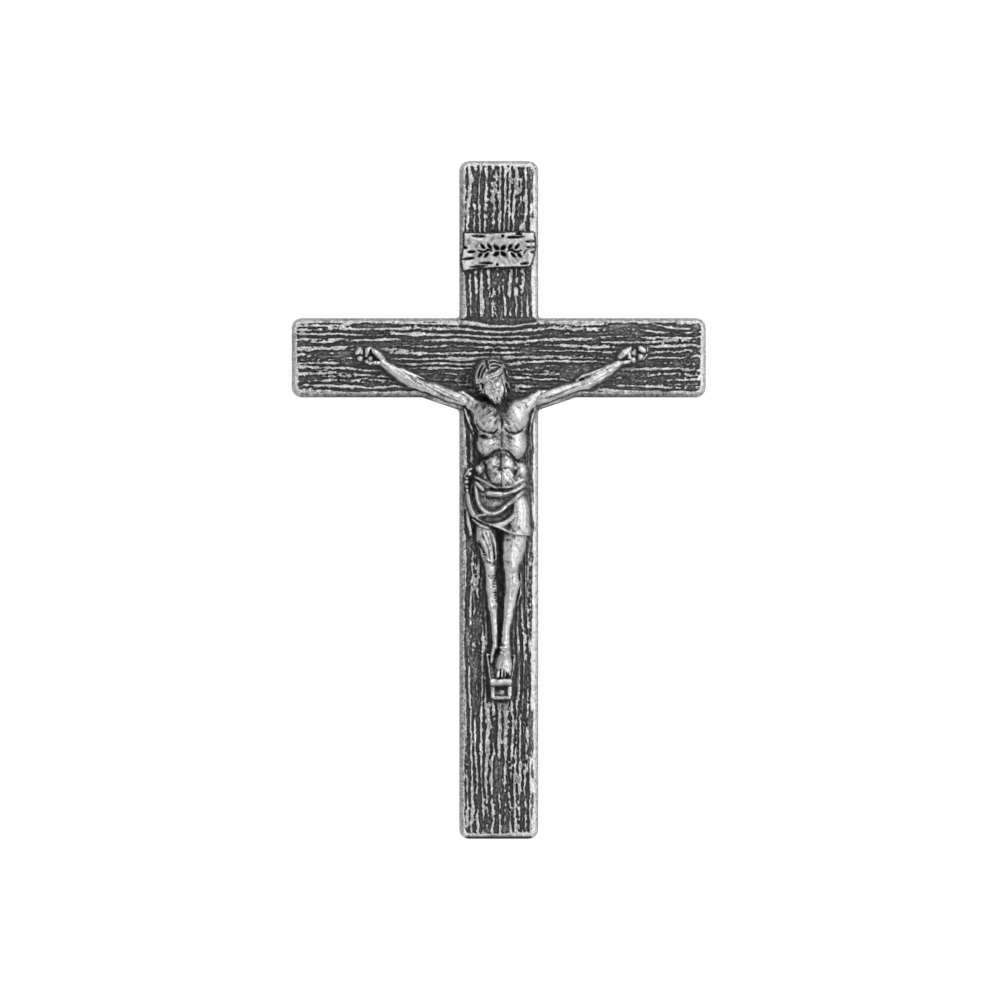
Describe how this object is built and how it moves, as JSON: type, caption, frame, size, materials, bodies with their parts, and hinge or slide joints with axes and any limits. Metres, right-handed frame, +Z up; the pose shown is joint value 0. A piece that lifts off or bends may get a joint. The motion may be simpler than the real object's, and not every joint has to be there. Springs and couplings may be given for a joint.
{
  "type": "wall crucifix",
  "caption": "Small cast-metal wall crucifix with wood-grain beams, a relief figure in a loincloth, a title board, a foot rest and a ring hanger behind.",
  "frame": {"origin": "centre of the beam crossing on the flat back face, which meets the wall", "axes": "+Z up along the upright, +X to the right of someone facing the crucifix, +Y into the wall, so the figure faces -Y"},
  "size_m": [0.0794, 0.0123, 0.13],
  "materials": {
    "cross_metal": "antique silver plate over a zinc casting, dark in the recesses and rubbed bright on the ridges",
    "figure_metal": "antique silver plate over a zinc casting, rubbed bright on the raised skin and folds",
    "plaque_metal": "antique silver plate with dark engraved strokes",
    "foot_rest_metal": "antique silver plate, dark in the sunk panel",
    "nail_metal": "darkened silver plate",
    "screw_steel": "plain turned steel",
    "hanger_steel": "nickel-plated steel, smooth"
  },
  "bodies": {
    "root": {"upright_beam": "cross_metal", "cross_beam": "cross_metal", "corpus_body": "figure_metal", "corpus_arm_left": "figure_metal", "corpus_arm_right": "figure_metal", "title_plaque": "plaque_metal", "foot_rest": "foot_rest_metal", "hand_nail_left": "nail_metal", "hand_nail_right": "nail_metal", "feet_nail": "nail_metal", "foot_rest_pin": "nail_metal", "lap_screws": "screw_steel", "corpus_screws": "screw_steel", "corpus_screw_washers": "screw_steel", "hanger_strap": "hanger_steel", "hanger_rivet": "hanger_steel"},
    "ring": {"hanging_ring": "hanger_steel"}
  },
  "joints": [
    {"name": "hanging_ring_swing", "type": "hinge", "parent": "root", "child": "ring", "pos_m": [0, -0.00175, 0.028], "axis": [1, 0, 0], "range_deg": [0, 175]}
  ]
}
